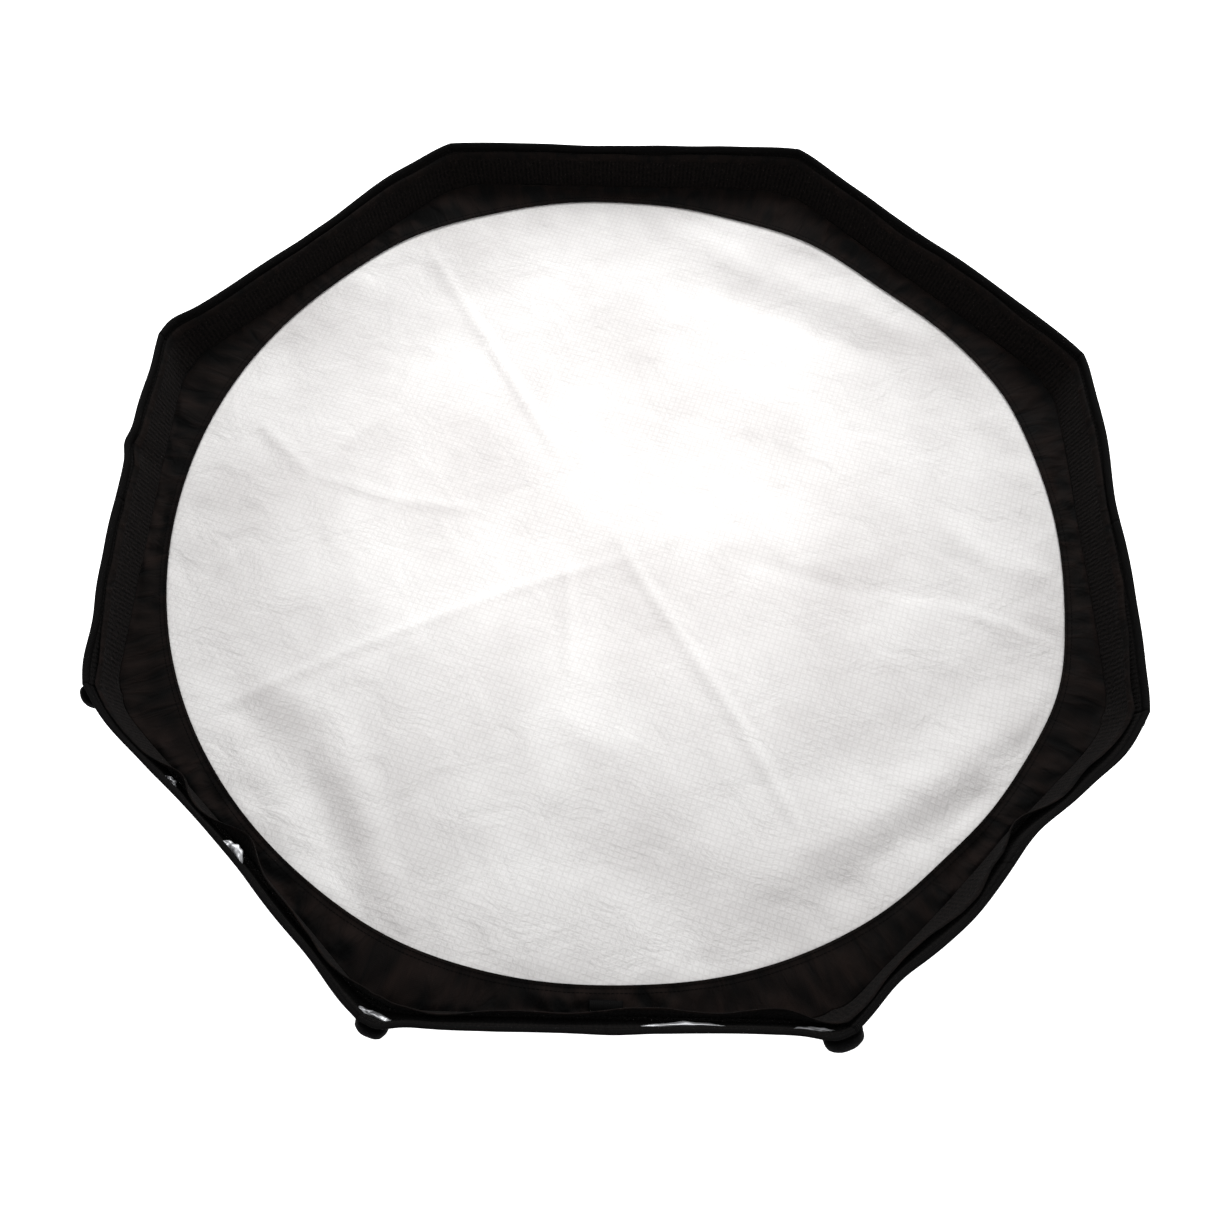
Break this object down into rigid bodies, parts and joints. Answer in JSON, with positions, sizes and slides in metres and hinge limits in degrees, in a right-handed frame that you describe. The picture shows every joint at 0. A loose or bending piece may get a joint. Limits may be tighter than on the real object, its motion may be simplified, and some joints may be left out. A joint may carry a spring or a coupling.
{
  "type": "octabox",
  "caption": "Folding octagonal light modifier: black shell with silver lining on hinged steel ribs, recessed white front diffuser, inner baffle and rotating bayonet lamp insert.",
  "frame": {"origin": "centre of the lamp insert's rear face, on the floor the octabox lies on", "axes": "+Z along the optical axis out of the front diffuser, -Y towards one flat side of the octagon"},
  "size_m": [0.8776, 0.8776, 0.332],
  "materials": {
    "insert_aluminium": "satin turned",
    "speedring_paint": "fine textured black powder coat",
    "pin_steel": "zinc plated",
    "knob_plastic": "moulded, satin",
    "shell_cloth": "black coated nylon, silver inside",
    "sleeve_cloth": "black webbing cloth",
    "socket_zinc": "black die-cast",
    "rod_spring_steel": "drawn wire",
    "loop_tape": "woven loop tape",
    "hook_tape": "hook tape on cloth",
    "border_cloth": "black light-proof nylon",
    "window_cloth": "white ripstop diffusion cloth",
    "tab_webbing": "woven webbing",
    "baffle_cloth": "white ripstop diffusion cloth"
  },
  "bodies": {
    "hub": {"speedring": "speedring_paint", "hinge_pins": "pin_steel", "retainer_ring": "speedring_paint", "retainer_screws": "pin_steel", "index_plungers": "pin_steel", "rear_collar": "shell_cloth", "front_skirt": "shell_cloth", "loop_tape": "loop_tape"},
    "mount_insert": {"mount_insert": "insert_aluminium"},
    "lock_knob": {"lock_knob": "knob_plastic"},
    "rib_1": {"rib_1_root": "socket_zinc", "rib_1_rod": "rod_spring_steel", "rib_1_sleeve": "sleeve_cloth"},
    "rib_2": {"rib_2_root": "socket_zinc", "rib_2_rod": "rod_spring_steel", "rib_2_sleeve": "sleeve_cloth"},
    "rib_3": {"rib_3_root": "socket_zinc", "rib_3_rod": "rod_spring_steel", "rib_3_sleeve": "sleeve_cloth"},
    "rib_4": {"rib_4_root": "socket_zinc", "rib_4_rod": "rod_spring_steel", "rib_4_sleeve": "sleeve_cloth"},
    "rib_5": {"rib_5_root": "socket_zinc", "rib_5_rod": "rod_spring_steel", "rib_5_sleeve": "sleeve_cloth"},
    "rib_6": {"rib_6_root": "socket_zinc", "rib_6_rod": "rod_spring_steel", "rib_6_sleeve": "sleeve_cloth"},
    "rib_7": {"rib_7_root": "socket_zinc", "rib_7_rod": "rod_spring_steel", "rib_7_sleeve": "sleeve_cloth"},
    "rib_8": {"rib_8_root": "socket_zinc", "rib_8_rod": "rod_spring_steel", "rib_8_sleeve": "sleeve_cloth"},
    "panel_1_left": {"shell_panel_1_left": "shell_cloth"},
    "panel_1_right": {"shell_panel_1_right": "shell_cloth"},
    "panel_2_left": {"shell_panel_2_left": "shell_cloth"},
    "panel_2_right": {"shell_panel_2_right": "shell_cloth"},
    "panel_3_left": {"shell_panel_3_left": "shell_cloth"},
    "panel_3_right": {"shell_panel_3_right": "shell_cloth"},
    "panel_4_left": {"shell_panel_4_left": "shell_cloth"},
    "panel_4_right": {"shell_panel_4_right": "shell_cloth"},
    "panel_5_left": {"shell_panel_5_left": "shell_cloth"},
    "panel_5_right": {"shell_panel_5_right": "shell_cloth"},
    "panel_6_left": {"shell_panel_6_left": "shell_cloth"},
    "panel_6_right": {"shell_panel_6_right": "shell_cloth"},
    "panel_7_left": {"shell_panel_7_left": "shell_cloth"},
    "panel_7_right": {"shell_panel_7_right": "shell_cloth"},
    "panel_8_left": {"shell_panel_8_left": "shell_cloth"},
    "panel_8_right": {"shell_panel_8_right": "shell_cloth"},
    "diffuser": {"diffuser_window": "window_cloth", "diffuser_border": "border_cloth", "diffuser_hook_tape": "hook_tape", "diffuser_pull_tab": "tab_webbing"},
    "baffle": {"baffle_cloth": "baffle_cloth", "baffle_straps": "tab_webbing"}
  },
  "joints": [
    {"name": "rib_1_fold", "type": "hinge", "parent": "hub", "child": "rib_1", "pos_m": [0.085, 0.03521, 0.028], "axis": [0.3827, -0.9239, 0], "range_deg": [0, 54], "deforming": ["front_skirt", "loop_tape"]},
    {"name": "rib_2_fold", "type": "hinge", "parent": "hub", "child": "rib_2", "pos_m": [0.03521, 0.085, 0.028], "axis": [0.9239, -0.3827, 0], "range_deg": [0, 54]},
    {"name": "rib_3_fold", "type": "hinge", "parent": "hub", "child": "rib_3", "pos_m": [-0.03521, 0.085, 0.028], "axis": [0.9239, 0.3827, 0], "range_deg": [0, 54]},
    {"name": "rib_4_fold", "type": "hinge", "parent": "hub", "child": "rib_4", "pos_m": [-0.085, 0.03521, 0.028], "axis": [0.3827, 0.9239, 0], "range_deg": [0, 54]},
    {"name": "rib_5_fold", "type": "hinge", "parent": "hub", "child": "rib_5", "pos_m": [-0.085, -0.03521, 0.028], "axis": [-0.3827, 0.9239, 0], "range_deg": [0, 54]},
    {"name": "rib_6_fold", "type": "hinge", "parent": "hub", "child": "rib_6", "pos_m": [-0.03521, -0.085, 0.028], "axis": [-0.9239, 0.3827, 0], "range_deg": [0, 54]},
    {"name": "rib_7_fold", "type": "hinge", "parent": "hub", "child": "rib_7", "pos_m": [0.03521, -0.085, 0.028], "axis": [-0.9239, -0.3827, 0], "range_deg": [0, 54]},
    {"name": "rib_8_fold", "type": "hinge", "parent": "hub", "child": "rib_8", "pos_m": [0.085, -0.03521, 0.028], "axis": [-0.3827, -0.9239, 0], "range_deg": [0, 54]},
    {"name": "panel_1_left_swing", "type": "hinge", "parent": "rib_1", "child": "panel_1_left", "pos_m": [0.08875, 0.03676, 0.02229], "axis": [-0.7529, -0.3119, -0.5795], "range_deg": [0, 67.03]},
    {"name": "panel_1_right_swing", "type": "hinge", "parent": "rib_1", "child": "panel_1_right", "pos_m": [0.08875, 0.03676, 0.02229], "axis": [0.7529, 0.3119, 0.5795], "range_deg": [0, 67.03]},
    {"name": "panel_2_left_swing", "type": "hinge", "parent": "rib_2", "child": "panel_2_left", "pos_m": [0.03676, 0.08875, 0.02229], "axis": [-0.3119, -0.7529, -0.5795], "range_deg": [0, 67.03]},
    {"name": "panel_2_right_swing", "type": "hinge", "parent": "rib_2", "child": "panel_2_right", "pos_m": [0.03676, 0.08875, 0.02229], "axis": [0.3119, 0.7529, 0.5795], "range_deg": [0, 67.03]},
    {"name": "panel_3_left_swing", "type": "hinge", "parent": "rib_3", "child": "panel_3_left", "pos_m": [-0.03676, 0.08875, 0.02229], "axis": [0.3119, -0.7529, -0.5795], "range_deg": [0, 67.03]},
    {"name": "panel_3_right_swing", "type": "hinge", "parent": "rib_3", "child": "panel_3_right", "pos_m": [-0.03676, 0.08875, 0.02229], "axis": [-0.3119, 0.7529, 0.5795], "range_deg": [0, 67.03]},
    {"name": "panel_4_left_swing", "type": "hinge", "parent": "rib_4", "child": "panel_4_left", "pos_m": [-0.08875, 0.03676, 0.02229], "axis": [0.7529, -0.3119, -0.5795], "range_deg": [0, 67.03]},
    {"name": "panel_4_right_swing", "type": "hinge", "parent": "rib_4", "child": "panel_4_right", "pos_m": [-0.08875, 0.03676, 0.02229], "axis": [-0.7529, 0.3119, 0.5795], "range_deg": [0, 67.03]},
    {"name": "panel_5_left_swing", "type": "hinge", "parent": "rib_5", "child": "panel_5_left", "pos_m": [-0.08875, -0.03676, 0.02229], "axis": [0.7529, 0.3119, -0.5795], "range_deg": [0, 67.03]},
    {"name": "panel_5_right_swing", "type": "hinge", "parent": "rib_5", "child": "panel_5_right", "pos_m": [-0.08875, -0.03676, 0.02229], "axis": [-0.7529, -0.3119, 0.5795], "range_deg": [0, 67.03]},
    {"name": "panel_6_left_swing", "type": "hinge", "parent": "rib_6", "child": "panel_6_left", "pos_m": [-0.03676, -0.08875, 0.02229], "axis": [0.3119, 0.7529, -0.5795], "range_deg": [0, 67.03]},
    {"name": "panel_6_right_swing", "type": "hinge", "parent": "rib_6", "child": "panel_6_right", "pos_m": [-0.03676, -0.08875, 0.02229], "axis": [-0.3119, -0.7529, 0.5795], "range_deg": [0, 67.03]},
    {"name": "panel_7_left_swing", "type": "hinge", "parent": "rib_7", "child": "panel_7_left", "pos_m": [0.03676, -0.08875, 0.02229], "axis": [-0.3119, 0.7529, -0.5795], "range_deg": [0, 67.03]},
    {"name": "panel_7_right_swing", "type": "hinge", "parent": "rib_7", "child": "panel_7_right", "pos_m": [0.03676, -0.08875, 0.02229], "axis": [0.3119, -0.7529, 0.5795], "range_deg": [0, 67.03]},
    {"name": "panel_8_left_swing", "type": "hinge", "parent": "rib_8", "child": "panel_8_left", "pos_m": [0.08875, -0.03676, 0.02229], "axis": [-0.7529, 0.3119, -0.5795], "range_deg": [0, 67.03]},
    {"name": "panel_8_right_swing", "type": "hinge", "parent": "rib_8", "child": "panel_8_right", "pos_m": [0.08875, -0.03676, 0.02229], "axis": [0.7529, -0.3119, 0.5795], "range_deg": [0, 67.03]},
    {"name": "diffuser_lift_off", "type": "slide", "parent": "hub", "child": "diffuser", "axis": [0, 0, 1], "range_m": [0, 0.6607]},
    {"name": "baffle_lift_off", "type": "slide", "parent": "hub", "child": "baffle", "axis": [0, 0, 1], "range_m": [0, 0.5665]},
    {"name": "insert_turn", "type": "hinge", "parent": "hub", "child": "mount_insert", "pos_m": [0, 0, 0], "axis": [0, 0, 1], "continuous": true},
    {"name": "lock_knob_turn", "type": "hinge", "parent": "hub", "child": "lock_knob", "pos_m": [0.106, 0, 0.0145], "axis": [1, 0, 0], "range_deg": [0, 360]}
  ],
  "couplings": [
    {"joint": "rib_2_fold", "follows": "rib_1_fold", "ratio": 1},
    {"joint": "rib_3_fold", "follows": "rib_1_fold", "ratio": 1},
    {"joint": "rib_4_fold", "follows": "rib_1_fold", "ratio": 1},
    {"joint": "rib_5_fold", "follows": "rib_1_fold", "ratio": 1},
    {"joint": "rib_6_fold", "follows": "rib_1_fold", "ratio": 1},
    {"joint": "rib_7_fold", "follows": "rib_1_fold", "ratio": 1},
    {"joint": "rib_8_fold", "follows": "rib_1_fold", "ratio": 1},
    {"joint": "panel_1_left_swing", "follows": "rib_1_fold", "ratio": 1.2411},
    {"joint": "panel_1_right_swing", "follows": "rib_1_fold", "ratio": 1.2411},
    {"joint": "panel_2_left_swing", "follows": "rib_1_fold", "ratio": 1.2411},
    {"joint": "panel_2_right_swing", "follows": "rib_1_fold", "ratio": 1.2411},
    {"joint": "panel_3_left_swing", "follows": "rib_1_fold", "ratio": 1.2411},
    {"joint": "panel_3_right_swing", "follows": "rib_1_fold", "ratio": 1.2411},
    {"joint": "panel_4_left_swing", "follows": "rib_1_fold", "ratio": 1.2411},
    {"joint": "panel_4_right_swing", "follows": "rib_1_fold", "ratio": 1.2411},
    {"joint": "panel_5_left_swing", "follows": "rib_1_fold", "ratio": 1.2411},
    {"joint": "panel_5_right_swing", "follows": "rib_1_fold", "ratio": 1.2411},
    {"joint": "panel_6_left_swing", "follows": "rib_1_fold", "ratio": 1.2411},
    {"joint": "panel_6_right_swing", "follows": "rib_1_fold", "ratio": 1.2411},
    {"joint": "panel_7_left_swing", "follows": "rib_1_fold", "ratio": 1.2411},
    {"joint": "panel_7_right_swing", "follows": "rib_1_fold", "ratio": 1.2411},
    {"joint": "panel_8_left_swing", "follows": "rib_1_fold", "ratio": 1.2411},
    {"joint": "panel_8_right_swing", "follows": "rib_1_fold", "ratio": 1.2411},
    {"joint": "diffuser_lift_off", "follows": "rib_1_fold", "m_per_rad": 0.7},
    {"joint": "baffle_lift_off", "follows": "rib_1_fold", "m_per_rad": 0.6}
  ]
}
